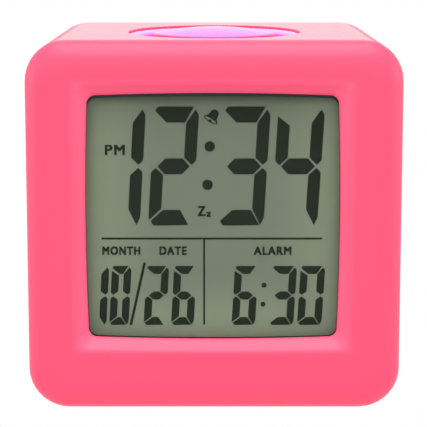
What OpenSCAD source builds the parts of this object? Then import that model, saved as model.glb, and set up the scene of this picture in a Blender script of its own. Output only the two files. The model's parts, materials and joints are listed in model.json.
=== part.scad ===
// Square-faced bedside alarm clock in a soft silicone sleeve.
// Millimetres. The origin is under the middle of the clock, on the surface that it stands on.
// +X is to the right seen from the front, the display faces -Y, and +Z is up.

/* [Body] */
// Width of the clock at its front face
body_w = 82; // [80:0.5:86]
// Height of the clock, without the dome of the snooze button
body_h = 81.2; // [80:0.2:84]
// Depth of the clock from its front face to the rear lip of the sleeve
body_d = 56; // [54:0.5:60]
// Corner radius of the front outline
corner_r = 9; // [8:0.5:10]
// How far each side leans in from front to back
side_taper = 2.75; // [1:0.25:3]
// Radius rolled round the front edge of the sleeve
front_roll = 4.5; // [3:0.5:5]
// Radius rolled round the back edge of the sleeve
back_roll = 1.5; // [0.5:0.25:2]

/* [Sleeve] */
// Thickness of the silicone on the top, base and sides
sleeve_t = 2.2; // [2:0.1:2.4]
// Thickness of the silicone in front of the case
sleeve_front_t = 2.8; // [2.4:0.1:3]
// Width of the lip that holds the sleeve on at the back
rear_lip = 2.2; // [1.5:0.1:2.5]
// Gap between the sleeve and the case
sleeve_gap = 0.05; // [0.05:0.01:0.1]
// Width of the window at the lens
window_w = 55; // [52:0.5:55.5]
// Height of the window at the lens
window_h = 54.2; // [52:0.2:54.4]
// Width of the sloping lip round the window
window_slope = 2.4; // [1.5:0.1:2.8]
// Height of the middle of the window above the base
window_z = 42.8; // [42.4:0.1:43]

/* [Case] */
// Wall thickness of the moulded case
case_t = 2; // [1.8:0.1:2.2]
// Thickness of the case's front wall, which holds the lens
case_front_t = 3; // [2.8:0.1:3.2]
// Thickness of the rear panel
rear_t = 2; // [1.8:0.1:2.2]
// Radius of a screw's thread
screw_r = 1; // [0.9:0.05:1.1]
// Radius of a screw's head
screw_head_r = 2; // [1.8:0.1:2.1]

/* [Display] */
// Thickness of the clear lens
lens_t = 1.6; // [1.5:0.1:1.7]
// Thickness of one glass of the liquid crystal display
glass_t = 1.1; // [0.9:0.1:1.1]
// Thickness of a polarising film
film_t = 0.25; // [0.2:0.05:0.3]
// Thickness of the light guide behind the display
guide_t = 2.5; // [2:0.1:2.5]
// Thickness of the circuit boards
board_t = 1.6; // [1.2:0.1:1.6]

/* [Snooze button] */
// Radius of the round opening in the top
opening_r = 19.6; // [19:0.1:20]
// Radius of the snooze dome
dome_r = 13.75; // [13:0.05:14]
// Height of the dome's top above the top face
dome_rise = 1; // [0.8:0.05:1.2]
// Height of the dome from its rim to its top
dome_h = 1.3; // [1.2:0.05:1.6]
// Travel of the snooze button
snooze_travel = 1; // [0.6:0.1:1]

/* [Keys] */
// Width of one setting key
key_w = 9; // [8:0.5:10]
// Height of one setting key
key_h = 5.2; // [4.5:0.1:5.5]
// Distance between neighbouring keys
key_pitch = 14; // [13:0.5:14.5]
// Travel of a setting key
key_travel = 0.5; // [0.3:0.05:0.5]
// Travel of a sliding switch
slider_travel = 2.6; // [2:0.1:2.8]

/* [Batteries] */
// Diameter of one cell
cell_d = 10.5; // [10:0.1:10.5]
// Length of one cell over its button
cell_l = 44.5; // [44:0.1:44.5]
// Thickness of the battery door
door_t = 1.6; // [1.4:0.1:1.6]

/* [Hidden] */

// Smoothness of round parts and of the rolled edges
$fn = 64;
hull_fn = 40;
tiny = 0.01;

// Planes along Y, from the front of the clock to the back
front_y = -body_d / 2;
back_y = body_d / 2;
case_front_y = front_y + sleeve_front_t;
tape_t = 0.2;
lens_back_y = case_front_y + lens_t;
ledge_y = lens_back_y + tape_t;
case_inner_y = case_front_y + case_front_t;
panel_back_y = back_y - 1.7;
panel_front_y = panel_back_y - rear_t;
film_y = case_inner_y + 0.1;
glass_y = film_y + film_t;
rear_glass_y = glass_y + glass_t;
rear_film_y = rear_glass_y + glass_t;
guide_y = rear_film_y + film_t + 0.1;
reflector_y = guide_y + guide_t + 0.05;
reflector_t = 0.2;
board_y = case_inner_y + 5.9;
board_back_y = board_y + board_t;

// Lens and display outlines
lens_w = window_w + 5.4;
lens_h = window_h + 5.2;
ledge_w = window_w + 1.4;
ledge_h = window_h + 1.4;
glass_w = 60;
glass_top = 72.2;
rear_glass_bottom = 13.2;
glass_bottom = 10.4;
frame_wall = 1.1;

// Screws that hold the main board, and those that hold the two case halves together
board_screw_x = 33.4;
board_screw_z = [7.2, 74];
case_screw_x = 30.4;
case_screw_z = [8, 73.2];

// Snooze button, stacked down from the top face
snooze_y = -1.5;
dome_top = body_h + dome_rise;
dome_rim = dome_top - dome_h;
dome_sphere = (dome_r * dome_r + dome_h * dome_h) / (2 * dome_h);
dome_wall = 1.5;
skirt_r = dome_r + 0.05;
guide_r = skirt_r + 0.3;
button_flange_r = skirt_r + 1.6;
button_foot = body_h - 6;
flange_t = 1;
stem_r = 2.6;
pad_foot = 70;
pad_top = pad_foot + 2.6 + snooze_travel;
ring_r = opening_r - 0.2;
ring_flange_r = ring_r + 1.2;
ring_edge = body_h - 0.2;
ring_dip = 0.95;
case_ceiling = body_h - sleeve_t - case_t;
bracket_t = 1.6;
bracket_x = 27;
bracket_top = pad_foot - board_t;

// Setting keys on the rear panel
key_names = ["time", "alarm", "up", "down"];
key_z = 60.5;
key_gap = 0.3;
key_face_y = panel_back_y + 1;
key_flange_y = panel_front_y - 1.2;
plunger_r = 1.75;
plunger_top = 22.3;
key_board_y = 16.2;
key_board_back = key_board_y + board_t;
switch_top = key_board_back + 3.5;
key_post_x = 25.5;
key_post_z = [42.4, 67];

// Sliding switches on the rear panel
slider_x = 22;
slider_z = 47.6;
knob_w = 3.8;
knob_h = 2.6;
lever_w = 1.4;
slide_can_top = key_board_back + 3.4;

// Buzzer
buzzer_z = 47.6;
buzzer_r = 7;

// Battery bay and its door
bay_w = cell_l + 7;
bay_bottom = 12.6;
bay_h = 2 * cell_d + 1.6;
bay_front_y = 13;
bay_wall = 1.2;
cell_y = bay_front_y + cell_d / 2 + 0.15;
cell_z = [bay_bottom + 5.5, bay_bottom + bay_h - 5.5];
plate_t = 0.4;
dimple_h = 0.75;
cell_end = bay_w / 2 - plate_t - dimple_h;
button_h = 1;
button_r = 1.9;
jacket_t = 0.15;
door_y = panel_back_y - door_t;
door_gap = 0.2;
seat_w = bay_w + 4.5;
seat_bottom = bay_bottom - 2.8;
seat_h = bay_h + 5.4;
seat_top = seat_bottom + seat_h;
tab_x = 16;
tab_w = 6;
latch_w = 8;
latch_root = 31;

// Insulated wires
wire_r = 0.45;

// Half the width of the clock at depth y, drawn in by inset
function half_w(y, inset) = body_w / 2 - inset - side_taper * (y - front_y) / body_d;

// Points of an arc of a circle in the plane, from angle a to angle b
function arc(r, a, b, steps) = [for (i = [0 : steps]) let (t = a + (b - a) * i / steps) r * [cos(t), sin(t)]];

// Rounded rectangle centred on the origin of the plane
module rounded_rect(w, h, r) {
    square([w - 2 * r, h], center = true);
    square([w, h - 2 * r], center = true);
    for (sx = [-1, 1], sy = [-1, 1])
        translate([sx * (w / 2 - r), sy * (h / 2 - r)]) circle(r);
}

// Upright rounded panel that faces along Y, centred on x and z
module panel(w, h, r, y0, y1, x = 0, z = 0) {
    translate([x, y1, z]) rotate([90, 0, 0]) linear_extrude(y1 - y0) rounded_rect(w, h, r);
}

// Rectangular block from one corner to the opposite one
module block(low, high) {
    translate(low) cube(high - low);
}

// Rod along Y
module rod_y(r, y0, y1, x = 0, z = 0) {
    translate([x, y1, z]) rotate([90, 0, 0]) cylinder(h = y1 - y0, r = r);
}

// Thin slice of the clock's outline, drawn in by inset, with corners of radius r
module outline_slice(inset, r, y) {
    for (side = [-1, 1], z = [inset + r, body_h - inset - r])
        translate([side * (half_w(y, inset) - r), y, z])
            rotate([90, 0, 0]) cylinder(h = tiny, r = r, center = true, $fn = hull_fn);
}

// Solid of the clock's outline between two depths, drawn in by inset
module clock_form(inset, y0, y1) {
    hull() {
        outline_slice(inset, corner_r - inset, y0);
        outline_slice(inset, corner_r - inset, y1);
    }
}

// Short screw along Y: its head sits at y, and the thread points forward
module screw_forward(x, y, z, length, r = screw_r) {
    difference() {
        rod_y(screw_head_r, y, y + 1, x, z);
        for (a = [0, 90])
            translate([x, y + 1, z]) rotate([0, a, 0]) cube([2.4, 1, 0.5], center = true);
    }
    rod_y(r, y - length, y + tiny, x, z);
}

// Screw along Z: its head hangs below z, and the thread points up
module screw_up(x, y, z, length) {
    difference() {
        translate([x, y, z - 1]) cylinder(h = 1, r = screw_head_r);
        for (a = [0, 90])
            translate([x, y, z - 1]) rotate([0, 0, a]) cube([2.4, 0.5, 1], center = true);
    }
    translate([x, y, z - tiny]) cylinder(h = length, r = screw_r);
}

// Point at s from 0 to 1 on the smooth curve from b to c, which a and d lead into
function between(a, b, c, d, s) =
    0.5 * (2 * b + (c - a) * s + (2 * a - 5 * b + 4 * c - d) * s * s + (3 * b - a - 3 * c + d) * s * s * s);

// Smooth curve through a few points, as steps points for each stretch
function smooth(p, steps) = [
    for (i = [0 : len(p) - 2], k = [0 : steps - 1])
        between(p[max(i - 1, 0)], p[i], p[i + 1], p[min(i + 2, len(p) - 1)], k / steps),
    p[len(p) - 1]
];

// Round wire of radius r swept along points, with flat ends
module wire(points, r = wire_r, sides = 6) {
    last = len(points) - 1;
    rings = [for (i = [0 : last])
        let (run = points[min(i + 1, last)] - points[max(i - 1, 0)],
             along = run / norm(run),
             cross_run = cross(along, [0, 0, 1]),
             across = cross_run / norm(cross_run),
             up = cross(across, along))
        for (k = [0 : sides - 1])
            points[i] + r * (cos(360 * k / sides) * across + sin(360 * k / sides) * up)];
    walls = [for (i = [0 : last - 1], k = [0 : sides - 1])
        let (a = i * sides + k, b = i * sides + (k + 1) % sides)
        [a, a + sides, b + sides, b]];
    start = [for (k = [0 : sides - 1]) k];
    end = [for (k = [sides - 1 : -1 : 0]) last * sides + k];
    polyhedron(rings, concat(walls, [start, end]), convexity = 8);
}

// ---- Sleeve and case ----

// Soft cover, with a window, a round opening in its top and an open back
module silicone_sleeve() {
    color("hotpink") difference() {
        hull() {
            for (a = [0 : 15 : 90]) {
                inset = front_roll * (1 - cos(a));
                outline_slice(inset, corner_r - inset / 2, front_y + front_roll * (1 - sin(a)));
            }
            for (a = [0 : 30 : 90]) {
                inset = back_roll * (1 - cos(a));
                outline_slice(inset, corner_r - inset / 2, back_y - back_roll * (1 - sin(a)));
            }
        }
        clock_form(sleeve_t - sleeve_gap, case_front_y - sleeve_gap, panel_back_y + sleeve_gap);
        sleeve_window();
        panel(2 * (half_w(panel_back_y, sleeve_t) - rear_lip),
              body_h - 2 * (sleeve_t + rear_lip), corner_r - sleeve_t - rear_lip,
              panel_back_y - 1, back_y + 1, z = body_h / 2);
        translate([0, snooze_y, case_ceiling]) cylinder(h = 20, r = opening_r);
    }
}

// Sloping hole round the lens
module sleeve_window() {
    corner = 1.6;
    hull() {
        for (end = [[0, case_front_y], [window_slope, front_y]])
            for (sx = [-1, 1], sz = [-1, 1])
                translate([sx * (window_w / 2 - corner + end[0]), end[1],
                           window_z + sz * (window_h / 2 - corner + end[0])])
                    rotate([90, 0, 0]) cylinder(h = tiny, r = corner, center = true, $fn = hull_fn);
    }
    panel(window_w, window_h, corner, case_front_y - 2 * sleeve_gap, case_front_y + 1, z = window_z);
}

// Deep front shell of the case, with the lens seat, the screw posts and the snooze hole
module front_case() {
    color("crimson") difference() {
        union() {
            difference() {
                clock_form(sleeve_t, case_front_y, panel_front_y - 2 * tiny);
                clock_form(sleeve_t + case_t, case_inner_y, panel_front_y + 1);
            }
            for (x = [-board_screw_x, board_screw_x], z = board_screw_z) {
                rod_y(2, case_inner_y - tiny, board_y, x, z);
                block([min(x, sign(x) * 36.8), case_inner_y - tiny, z - 0.6],
                      [max(x, sign(x) * 36.8), board_y - 0.4, z + 0.6]);
            }
            intersection() {
                clock_form(sleeve_t + case_t / 2, 8, panel_front_y - 0.1);
                case_posts();
            }
            for (x = [-bracket_x, bracket_x])
                translate([x, snooze_y, bracket_top])
                    cylinder(h = case_ceiling - bracket_top + tiny, r = 2.6);
        }
        panel(lens_w + 0.3, lens_h + 0.3, 2.6, case_front_y - 1, ledge_y, z = window_z);
        panel(ledge_w, ledge_h, 2, ledge_y - 1, case_inner_y + 1, z = window_z);
        for (x = [-board_screw_x, board_screw_x], z = board_screw_z)
            rod_y(screw_r + 0.02, board_y - 6, board_y + 1, x, z);
        for (x = [-case_screw_x, case_screw_x], z = case_screw_z)
            rod_y(screw_r + 0.02, panel_front_y - 13, panel_front_y + 1, x, z);
        for (x = [-bracket_x, bracket_x])
            translate([x, snooze_y, bracket_top - 1]) cylinder(h = 7.5, r = screw_r + 0.02);
        translate([0, snooze_y, case_ceiling - 1]) cylinder(h = 20, r = opening_r);
    }
}

// Corner posts that take the case screws, each filled out to its corner of the case
module case_posts() {
    for (x = [-case_screw_x, case_screw_x], z = case_screw_z) {
        rod_y(2.8, 8, panel_front_y, x, z);
        block([min(x, sign(x) * 40), 8, z - 1], [max(x, sign(x) * 40), panel_front_y, z + 1]);
        block([x - 1, 8, z < 40 ? 0 : z], [x + 1, panel_front_y, z < 40 ? z : body_h]);
    }
}

// Rear panel with the battery bay, the key holes, the switch slots and the sound holes
module rear_case() {
    bay_z = bay_bottom + bay_h / 2;
    color([0.86, 0.16, 0.36]) difference() {
        union() {
            clock_form(sleeve_t, panel_front_y, panel_back_y);
            difference() {
                clock_form(sleeve_t + case_t + 0.15, panel_front_y - 2, panel_front_y + tiny);
                clock_form(sleeve_t + case_t + 1.35, panel_front_y - 3, panel_front_y + 1);
                for (x = [-case_screw_x, case_screw_x], z = case_screw_z)
                    panel(9, 9, 1, panel_front_y - 3, panel_front_y, x + sign(x), z + sign(z - 40));
            }
            panel(bay_w + 2 * bay_wall, bay_h + 2 * bay_wall, 1,
                  bay_front_y - bay_wall, panel_front_y + tiny, z = bay_z);
            intersection() {
                panel(seat_w + 2.4, seat_h + 2.4, 1, panel_front_y - 1, panel_front_y + tiny,
                      z = seat_bottom + seat_h / 2);
                block([-27.4, 0, 0], [27.4, 60, 60]);
            }
            for (x = [-key_post_x, key_post_x], z = key_post_z)
                rod_y(2.2, key_board_back, panel_front_y + tiny, x, z);
            rod_y(buzzer_r + 1.2, panel_front_y - 1.8, panel_front_y + tiny, 0, buzzer_z);
        }
        block([-bay_w / 2, bay_front_y, bay_bottom], [bay_w / 2, back_y, bay_bottom + bay_h]);
        panel(seat_w, seat_h, 1.2, door_y - 0.1, back_y, z = seat_bottom + seat_h / 2);
        for (x = [-tab_x, tab_x])
            block([x - tab_w / 2 - 0.3, panel_front_y - 1.5, seat_bottom - 1.9],
                  [x + tab_w / 2 + 0.3, panel_back_y - 1, bay_bottom - 0.4]);
        block([-latch_w / 2 - 0.5, panel_front_y - 0.4, bay_bottom + bay_h - 1],
              [latch_w / 2 + 0.5, panel_back_y - 1, seat_top + 1]);
        for (k = [0 : 3])
            panel(key_w + 2 * key_gap, key_h + 2 * key_gap, 1.2, panel_front_y - 1, back_y,
                  key_x(k), key_z);
        for (x = [-slider_x, slider_x])
            panel(knob_w + slider_travel + 0.6, knob_h + 0.6, 0.6, panel_front_y - 1, back_y,
                  x, slider_z);
        for (x = [-key_post_x, key_post_x], z = key_post_z)
            rod_y(screw_r + 0.02, key_board_back - 1, key_board_back + 5, x, z);
        for (x = [-case_screw_x, case_screw_x], z = case_screw_z) {
            rod_y(screw_r + 0.25, panel_front_y - 1, back_y, x, z);
            rod_y(screw_head_r + 0.3, panel_back_y - 1.1, back_y, x, z);
        }
        rod_y(buzzer_r + 0.15, panel_front_y - 3, panel_front_y, 0, buzzer_z);
        rod_y(0.8, panel_front_y - 1, back_y, 0, buzzer_z);
        for (p = arc(3.2, 0, 300, 5))
            rod_y(0.8, panel_front_y - 1, back_y, p[0], buzzer_z + p[1]);
        contact_slots();
    }
}

// Slots in the bay's front wall for the solder tabs of the contact plates
module contact_slots() {
    for (side = [-1, 1], z = cell_z)
        block([side * (bay_w / 2 - plate_t / 2) - 0.3, bay_front_y - 2, z - 1.2],
              [side * (bay_w / 2 - plate_t / 2) + 0.3, bay_front_y + 1, z + 1.2]);
}

// Screws through the rear panel into the corner posts
module case_screws() {
    color("silver") for (x = [-case_screw_x, case_screw_x], z = case_screw_z)
        screw_forward(x, panel_back_y - 1.05, z, 11);
}

// ---- Display ----

// Clear window in the case's front wall
module lens() {
    color([0.9, 0.95, 1, 0.4]) panel(lens_w, lens_h, 2.5, case_front_y, lens_back_y, z = window_z);
}

// Thin adhesive frame behind the edge of the lens
module lens_tape() {
    color([0.12, 0.12, 0.12]) difference() {
        panel(lens_w - 0.4, lens_h - 0.4, 2.3, lens_back_y, ledge_y, z = window_z);
        panel(ledge_w, ledge_h, 2, lens_back_y - 1, ledge_y + 1, z = window_z);
    }
}

// Flat layer of the display between two heights
module display_layer(w, bottom, top, y, t) {
    block([-w / 2, y, bottom], [w / 2, y + t, top]);
}

module lcd_front_film() {
    color([0.5, 0.53, 0.46, 0.5])
        display_layer(glass_w - 0.8, rear_glass_bottom + 0.4, glass_top - 0.4, film_y, film_t);
}

// The front glass is longer at the bottom, where its contacts meet the zebra strip
module lcd_front_glass() {
    color([0.75, 0.8, 0.75, 0.4])
        display_layer(glass_w, glass_bottom, glass_top, glass_y, glass_t);
}

module lcd_rear_glass() {
    color([0.75, 0.8, 0.75, 0.4])
        display_layer(glass_w, rear_glass_bottom, glass_top, rear_glass_y, glass_t);
}

module lcd_rear_film() {
    color([0.46, 0.5, 0.42])
        display_layer(glass_w - 0.8, rear_glass_bottom + 0.4, glass_top - 0.4, rear_film_y, film_t);
}

// Clear plate that spreads the backlight, clear of the lamps at its two sides
module light_guide() {
    color([0.85, 0.9, 0.95, 0.5])
        display_layer(glass_w - 4, rear_glass_bottom + 0.4, glass_top - 0.4, guide_y, guide_t);
}

module reflector_sheet() {
    color("white")
        display_layer(glass_w - 4, rear_glass_bottom + 0.4, glass_top - 0.4, reflector_y, reflector_t);
}

// Tray that holds the glasses and the light guide against the front wall
module lcd_frame() {
    mid = (glass_top + glass_bottom) / 2;
    tall = glass_top - glass_bottom + 0.2;
    color("whitesmoke") difference() {
        panel(glass_w + 0.2 + 2 * frame_wall, tall + 2 * frame_wall, 1.4,
              case_inner_y + 0.02, board_y - 0.05, z = mid);
        block([-glass_w / 2 - 0.1, case_inner_y - 1, glass_bottom - 0.1],
              [glass_w / 2 + 0.1, board_y + 1, glass_top + 0.1]);
    }
}

// Striped rubber strip that joins the front glass to the main board
module zebra_strip() {
    color([0.75, 0.35, 0.5])
        block([-28, rear_glass_y, glass_bottom + 0.3], [28, board_y, glass_bottom + 2.4]);
}

// ---- Main board ----

// Board behind the display, notched at the top to clear the snooze button
module main_board() {
    color("darkgreen") difference() {
        panel(71, 71.4, 3.6, board_y, board_back_y, z = 40.6);
        block([-20, board_y - 1, 72.8], [20, board_back_y + 1, 80]);
        for (x = [-board_screw_x, board_screw_x], z = board_screw_z)
            rod_y(screw_r + 0.2, board_y - 1, board_back_y + 1, x, z);
    }
}

// Drop of black resin over the clock chip
module chip_blob() {
    color([0.08, 0.08, 0.08]) translate([-14, board_back_y, 40]) rotate([-90, 0, 0])
        rotate_extrude() polygon(concat([[0, 0]], [for (a = [0 : 15 : 90]) [7 * cos(a), 1.6 * sin(a)]]));
}

module crystal_can() {
    color("silver") {
        translate([8, board_back_y + 1.6, 30]) rotate([0, 90, 0]) cylinder(h = 8, r = 1.5);
        for (z = [29.4, 30.6])
            translate([16, board_back_y + 1.6, z]) rotate([0, 90, 0]) cylinder(h = 2, r = 0.2, $fn = 16);
    }
}

module capacitors() {
    color("midnightblue") for (x = [22, 28.5])
        rod_y(2.5, board_back_y, board_back_y + 7, x, 20);
}

// Small resistors and capacitors in two rows
module chip_parts() {
    color("dimgray") for (column = [0 : 5], row = [0, 1])
        block([-30 + 4 * column, board_back_y, 54 + 4 * row],
              [-28 + 4 * column, board_back_y + 0.6, 55.2 + 4 * row]);
}

// Side lamps that shine into the light guide's two edges
module backlight_leds() {
    color("lightyellow") for (side = [-1, 1], z = [28, 57])
        block([side * 29 - 0.8, board_y - 2.9, z - 1.8], [side * 29 + 0.8, board_y, z + 1.8]);
}

// White plug headers for the battery, key and snooze leads
module connectors() {
    color("ivory") {
        header(-20, 20, 6);
        header(0, 46, 12);
        header(14, 62, 6);
    }
}

module header(x, z, w) {
    difference() {
        block([x - w / 2, board_back_y, z - 2], [x + w / 2, board_back_y + 3.4, z + 2]);
        block([x - w / 2 + 0.6, board_back_y + 1.4, z - 1.4], [x + w / 2 - 0.6, board_back_y + 4, z + 1.4]);
    }
}

module board_screws() {
    color("silver") for (x = [-board_screw_x, board_screw_x], z = board_screw_z)
        screw_forward(x, board_back_y, z, 7);
}

// ---- Snooze button ----

// Dished ring round the dome, flanged under the top of the case
module snooze_ring() {
    dish = [for (i = [0 : 6]) let (s = i / 6)
        [guide_r + 0.3 + (ring_r - 0.3 - guide_r - 0.3) * s, ring_edge - ring_dip * (1 - s * s)]];
    inner_foot = button_foot + flange_t + 0.1;
    color([0.92, 0.72, 0.96, 0.8]) translate([0, snooze_y, 0]) rotate_extrude($fn = 96)
        polygon(concat(dish, [
            [ring_r, ring_edge - 0.3],
            [ring_r, case_ceiling - 0.05],
            [ring_flange_r, case_ceiling - 0.05],
            [ring_flange_r, case_ceiling - 1.25],
            [ring_r - 1.2, case_ceiling - 1.25],
            [ring_r - 1.2, ring_edge - 1.9],
            [guide_r + 1, ring_edge - ring_dip - 1.3],
            [guide_r + 1, inner_foot],
            [guide_r, inner_foot],
            [guide_r, ring_edge - ring_dip - 0.3]
        ]));
}

// Dome that is pressed, with a skirt, a flange that stops it and a stem on the pad
module snooze_button() {
    rim_angle = asin(dome_r / dome_sphere);
    inner_r = skirt_r - dome_wall;
    inner_sphere = dome_sphere - dome_wall;
    centre_z = dome_top - dome_sphere;
    cap = [for (i = [0 : 8]) let (a = rim_angle * i / 8)
        [dome_sphere * sin(a), centre_z + dome_sphere * cos(a)]];
    low = asin(inner_r / inner_sphere);
    high = asin(stem_r / inner_sphere);
    inside = [for (i = [0 : 6]) let (a = low + (high - low) * i / 6)
        [inner_sphere * sin(a), centre_z + inner_sphere * cos(a)]];
    color([0.95, 0.7, 0.97, 0.85]) translate([0, snooze_y, 0]) rotate_extrude($fn = 96)
        polygon(concat(cap, [
            [skirt_r, dome_rim - 0.2],
            [skirt_r, button_foot + flange_t],
            [button_flange_r, button_foot + flange_t],
            [button_flange_r, button_foot],
            [inner_r, button_foot]
        ], inside, [[stem_r, pad_top + 0.05], [0, pad_top + 0.05]]));
}

// Soft pad that springs the button back and carries the contact
module snooze_pad() {
    color([0.85, 0.85, 0.85]) translate([0, snooze_y, 0]) rotate_extrude()
        polygon([
            [4.4, pad_foot], [6.5, pad_foot], [6.5, pad_foot + 0.8], [5.2, pad_foot + 0.8],
            [3.1, pad_top - 1], [3.1, pad_top], [0, pad_top], [0, pad_top - 1.4],
            [2.3, pad_top - 1.4], [4.4, pad_foot + 0.6]
        ]);
}

module snooze_board() {
    color("darkgreen") difference() {
        block([-15, snooze_y - 11, bracket_top], [15, snooze_y + 11, pad_foot]);
        for (x = [-12.5, 12.5])
            translate([x, snooze_y, bracket_top - 1]) cylinder(h = 4, r = screw_r + 0.1);
    }
}

// Lamps that light the dome
module snooze_leds() {
    color("lightyellow") for (side = [-1, 1])
        block([side * 1.4 - 1.4, snooze_y + side * 8.2 - 1.4, pad_foot],
              [side * 1.4 + 1.4, snooze_y + side * 8.2 + 1.4, pad_foot + 1.9]);
}

// Bar under the snooze board, hung from two posts of the case
module snooze_bracket() {
    color("whitesmoke") difference() {
        union() {
            block([-bracket_x - 3.4, snooze_y - 5, bracket_top - bracket_t],
                  [bracket_x + 3.4, snooze_y + 5, bracket_top - 0.02]);
            block([-bracket_x + 4, snooze_y - 0.6, bracket_top - 4.6],
                  [bracket_x - 4, snooze_y + 0.6, bracket_top - bracket_t + tiny]);
            for (x = [-12.5, 12.5])
                translate([x, snooze_y, bracket_top - 4.6]) cylinder(h = 4, r = 2.1);
        }
        for (x = [-12.5, 12.5])
            translate([x, snooze_y, bracket_top - 5]) cylinder(h = 7, r = screw_r + 0.02);
        for (x = [-bracket_x, bracket_x])
            translate([x, snooze_y, bracket_top - 5]) cylinder(h = 7, r = screw_r + 0.2);
    }
}

// Two screws hold the bracket from below, and two hold the board from above
module snooze_screws() {
    color("silver") {
        for (x = [-bracket_x, bracket_x])
            screw_up(x, snooze_y, bracket_top - bracket_t, 7);
        for (x = [-12.5, 12.5])
            translate([0, 2 * snooze_y, 2 * pad_foot]) rotate([180, 0, 0])
                screw_up(x, snooze_y, pad_foot, 5);
    }
}

// ---- Keys, switches and buzzer ----

// Place of setting key k along the rear panel
function key_x(k) = (k - 1.5) * key_pitch;

module key_board() {
    color("darkgreen") difference() {
        block([-28.5, key_board_y, 40], [28.5, key_board_back, 69.8]);
        for (x = [-key_post_x, key_post_x], z = key_post_z)
            rod_y(screw_r + 0.2, key_board_y - 1, key_board_back + 1, x, z);
    }
}

// These screws enter from the front, so they are the forward screw turned round
module key_board_screws() {
    color("silver") for (x = [-key_post_x, key_post_x], z = key_post_z)
        translate([0, 2 * key_board_y, 2 * z]) rotate([180, 0, 0])
            screw_forward(x, key_board_y, z, 6);
}

// Bodies of the four push switches, each with a hole for its plunger
module tact_switches() {
    color([0.15, 0.15, 0.16]) for (k = [0 : 3]) difference() {
        block([key_x(k) - 3, key_board_back, key_z - 3], [key_x(k) + 3, switch_top, key_z + 3]);
        rod_y(plunger_r + 0.1, switch_top - 1.7 - key_travel, switch_top + 1, key_x(k), key_z);
    }
}

// Cap of one setting key: its face, the flange behind the panel and its stem
module setting_key(k) {
    x = key_x(k);
    color("whitesmoke") {
        panel(key_w, key_h, 0.9, key_flange_y + tiny, key_face_y, x, key_z);
        panel(key_w + 2.4, key_h + 2.2, 0.9, key_flange_y, key_flange_y + 1, x, key_z);
        rod_y(1.5, plunger_top, key_flange_y + tiny, x, key_z);
    }
}

module plunger(k) {
    color([0.6, 0.1, 0.1]) rod_y(plunger_r, switch_top - 1.5, plunger_top, key_x(k), key_z);
}

// Metal bodies of the two sliding switches, each slotted for its lever
module slide_switches() {
    color("silver") for (x = [-slider_x, slider_x]) difference() {
        block([x - 4.3, key_board_back, slider_z - 1.8], [x + 4.3, slide_can_top, slider_z + 1.8]);
        block([x - slider_travel / 2 - lever_w / 2 - 0.2, slide_can_top - 1.4, slider_z - 0.8],
              [x + slider_travel / 2 + lever_w / 2 + 0.2, slide_can_top + 1, slider_z + 0.8]);
    }
}

// Knob that slides along its slot, with ribs for a fingertip and a fork on the lever
module slider_knob(middle) {
    x = middle - slider_travel / 2;
    color("whitesmoke") {
        difference() {
            block([x - knob_w / 2, key_flange_y + 0.5, slider_z - knob_h / 2],
                  [x + knob_w / 2, key_face_y, slider_z + knob_h / 2]);
            for (i = [-1, 0, 1])
                block([x + 1.2 * i - 0.25, key_face_y - 0.4, slider_z - 2],
                      [x + 1.2 * i + 0.25, key_face_y + 1, slider_z + 2]);
        }
        block([x - 5.5, key_flange_y + 0.1, slider_z - 2.5], [x + 5.5, key_flange_y + 0.9, slider_z + 2.5]);
        for (side = [-1, 1])
            block([x + side * 1.2 - 0.4, key_flange_y - 1.3, slider_z - 1.2],
                  [x + side * 1.2 + 0.4, key_flange_y + 0.2, slider_z + 1.2]);
    }
}

module slider_lever(middle) {
    x = middle - slider_travel / 2;
    color([0.1, 0.1, 0.1])
        block([x - lever_w / 2, slide_can_top - 1.2, slider_z - 0.6],
              [x + lever_w / 2, key_flange_y - 0.1, slider_z + 0.6]);
}

module buzzer_disc() {
    color("goldenrod") rod_y(buzzer_r, panel_front_y - 0.95, panel_front_y - 0.75, 0, buzzer_z);
}

module buzzer_ceramic() {
    color("ivory") rod_y(buzzer_r - 2.2, panel_front_y - 1.2, panel_front_y - 0.96, 0, buzzer_z);
}

module buzzer_gasket() {
    color([0.2, 0.2, 0.22]) difference() {
        rod_y(buzzer_r, panel_front_y - 0.74, panel_front_y - 0.02, 0, buzzer_z);
        rod_y(buzzer_r - 1.5, panel_front_y - 1, panel_front_y + 1, 0, buzzer_z);
    }
}

// ---- Batteries ----

// Door with a round lower edge that it turns on, two hook tabs and a notch for the latch
module battery_door() {
    low = seat_bottom + door_gap;
    high = seat_top - door_gap;
    wide = seat_w - 2 * door_gap - 0.2;
    color([0.86, 0.16, 0.36]) difference() {
        union() {
            intersection() {
                panel(wide, high - low, 1.4, door_y - 1, back_y, z = (low + high) / 2);
                translate([-wide / 2, 0, 0]) rotate([90, 0, 90]) linear_extrude(wide) {
                    translate([door_y + door_t / 2, low + door_t / 2]) circle(door_t / 2);
                    translate([door_y, low + door_t / 2]) square([door_t, high - low]);
                }
            }
            for (x = [-tab_x, tab_x]) {
                block([x - tab_w / 2, door_y - 0.7, low - 1.6], [x + tab_w / 2, door_y + 0.5, low + 0.5]);
                block([x - 0.6, door_y - 0.8, bay_bottom + 2],
                      [x + 0.6, door_y + tiny, bay_bottom + bay_h - 3]);
            }
        }
        block([-latch_w / 2 - 0.4, door_y - 1, latch_root], [latch_w / 2 + 0.4, back_y, seat_top]);
    }
}

// Springy tongue of the door, with a hook that catches behind the panel's edge
module door_latch() {
    color([0.8, 0.14, 0.33]) {
        block([-latch_w / 2, panel_back_y - 1.1, latch_root],
              [latch_w / 2, panel_back_y - 0.1, seat_top - 0.3]);
        block([-latch_w / 2, panel_back_y - 2, seat_top - 1.6],
              [latch_w / 2, panel_back_y - 1.05, seat_top + 0.7]);
    }
}

// Direction that cell i points in: its button end is at +X or at -X
function cell_way(i) = i == 0 ? 1 : -1;

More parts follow.
